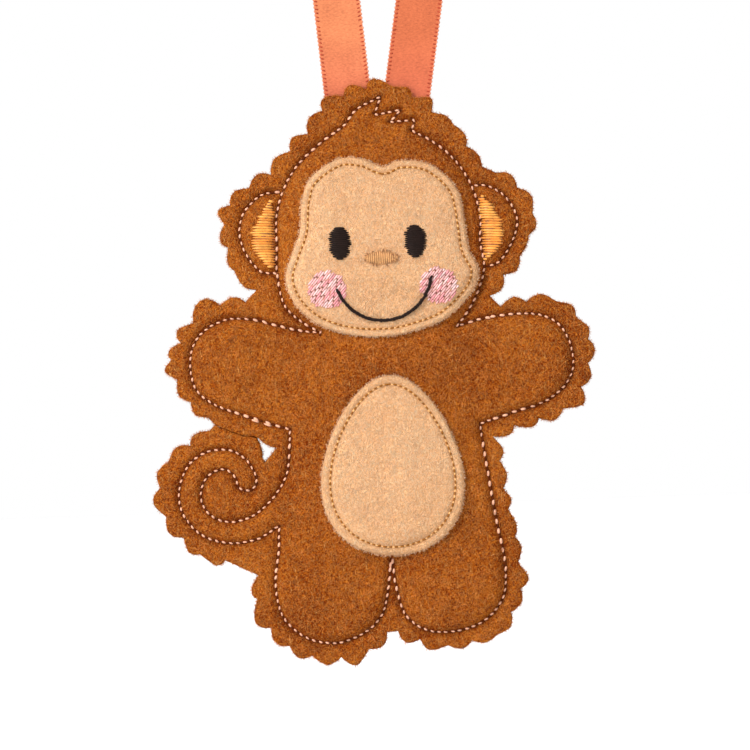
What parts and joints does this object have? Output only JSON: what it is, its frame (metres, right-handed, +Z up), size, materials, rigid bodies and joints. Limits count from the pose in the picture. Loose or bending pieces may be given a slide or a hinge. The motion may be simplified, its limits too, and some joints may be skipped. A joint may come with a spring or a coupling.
{
  "type": "stuffed monkey ornament",
  "caption": "Flat stuffed felt monkey with a spiral tail, felt face and tummy appliques, pinked edges, an embroidered face and a satin hanging ribbon.",
  "frame": {"origin": "middle of the back felt's flat outer face, on the centre line, level with the middle of the tummy", "axes": "+Z up towards the head and ribbon, +Y out of the back, -Y out of the face, +X to the right as seen from the front"},
  "size_m": [0.0893, 0.0122, 0.1752],
  "materials": {
    "brown_felt": "matte needled craft felt",
    "peach_felt": "matte needled craft felt",
    "fibrefill": "loose white polyester fibre",
    "outline_thread": "satin embroidery thread, light peach with dark brown between the stitches",
    "applique_thread": "satin embroidery thread, ochre",
    "dark_thread": "satin embroidery thread, near black brown",
    "nose_thread": "satin embroidery thread, tan",
    "cheek_thread": "satin embroidery thread, pink",
    "ear_thread": "satin embroidery thread, gold",
    "ribbon_satin": "single-face satin with a woven edge, salmon"
  },
  "bodies": {
    "monkey_body": {"back_felt_body": "brown_felt", "bobbin_thread_head": "outline_thread", "bobbin_thread_left_ear": "outline_thread", "bobbin_thread_right_ear": "outline_thread", "bobbin_thread_right_side": "outline_thread", "bobbin_thread_tail_side": "outline_thread", "face_applique": "peach_felt", "face_stitching": "applique_thread", "front_felt_body": "brown_felt", "left_cheek": "cheek_thread", "left_eye": "dark_thread", "left_inner_ear": "ear_thread", "mouth": "dark_thread", "needle_thread_head": "outline_thread", "needle_thread_left_ear": "outline_thread", "needle_thread_right_ear": "outline_thread", "needle_thread_right_side": "outline_thread", "needle_thread_tail_side": "outline_thread", "nose": "nose_thread", "ribbon_left_sewn_end": "ribbon_satin", "ribbon_right_sewn_end": "ribbon_satin", "right_cheek": "cheek_thread", "right_eye": "dark_thread", "right_inner_ear": "ear_thread", "stuffing_head": "fibrefill", "stuffing_torso": "fibrefill", "tummy_applique": "peach_felt", "tummy_stitching": "applique_thread"},
    "left_arm": {"back_felt_left_arm": "brown_felt", "bobbin_thread_left_arm": "outline_thread", "front_felt_left_arm": "brown_felt", "needle_thread_left_arm": "outline_thread", "stuffing_left_arm": "fibrefill"},
    "right_arm": {"back_felt_right_arm": "brown_felt", "bobbin_thread_right_arm": "outline_thread", "front_felt_right_arm": "brown_felt", "needle_thread_right_arm": "outline_thread", "stuffing_right_arm": "fibrefill"},
    "legs": {"back_felt_legs": "brown_felt", "bobbin_thread_left_leg": "outline_thread", "bobbin_thread_right_leg": "outline_thread", "front_felt_legs": "brown_felt", "needle_thread_left_leg": "outline_thread", "needle_thread_right_leg": "outline_thread", "stuffing_left_leg": "fibrefill", "stuffing_right_leg": "fibrefill"},
    "ribbon_strands": {"ribbon_left_strand": "ribbon_satin", "ribbon_right_strand": "ribbon_satin"},
    "ribbon_loop_top": {"ribbon_crown": "ribbon_satin"}
  },
  "joints": [
    {"name": "left_arm_flex", "type": "hinge", "parent": "monkey_body", "child": "left_arm", "pos_m": [-0.0254, -0.0042, 0.0217], "axis": [-0.026, 0, 0.9997], "range_deg": [-30, 30], "stiffness_Nm_per_rad": 0.002},
    {"name": "right_arm_flex", "type": "hinge", "parent": "monkey_body", "child": "right_arm", "pos_m": [0.02075, -0.0042, 0.02005], "axis": [-0.0106, 0, -0.9999], "range_deg": [-30, 30], "stiffness_Nm_per_rad": 0.002},
    {"name": "legs_flex", "type": "hinge", "parent": "monkey_body", "child": "legs", "pos_m": [-0.00135, -0.0042, -0.0198], "axis": [-0.9998, 0, -0.0191], "range_deg": [-30, 30], "stiffness_Nm_per_rad": 0.002},
    {"name": "ribbon_fold", "type": "hinge", "parent": "monkey_body", "child": "ribbon_strands", "pos_m": [0, -0.0042, 0.0798], "axis": [1, 0, 0], "range_deg": [-110, 110], "stiffness_Nm_per_rad": 0.0004},
    {"name": "ribbon_bend", "type": "hinge", "parent": "ribbon_strands", "child": "ribbon_loop_top", "pos_m": [0, -0.0042, 0.1], "axis": [1, 0, 0], "range_deg": [-70, 70], "stiffness_Nm_per_rad": 0.0004}
  ]
}
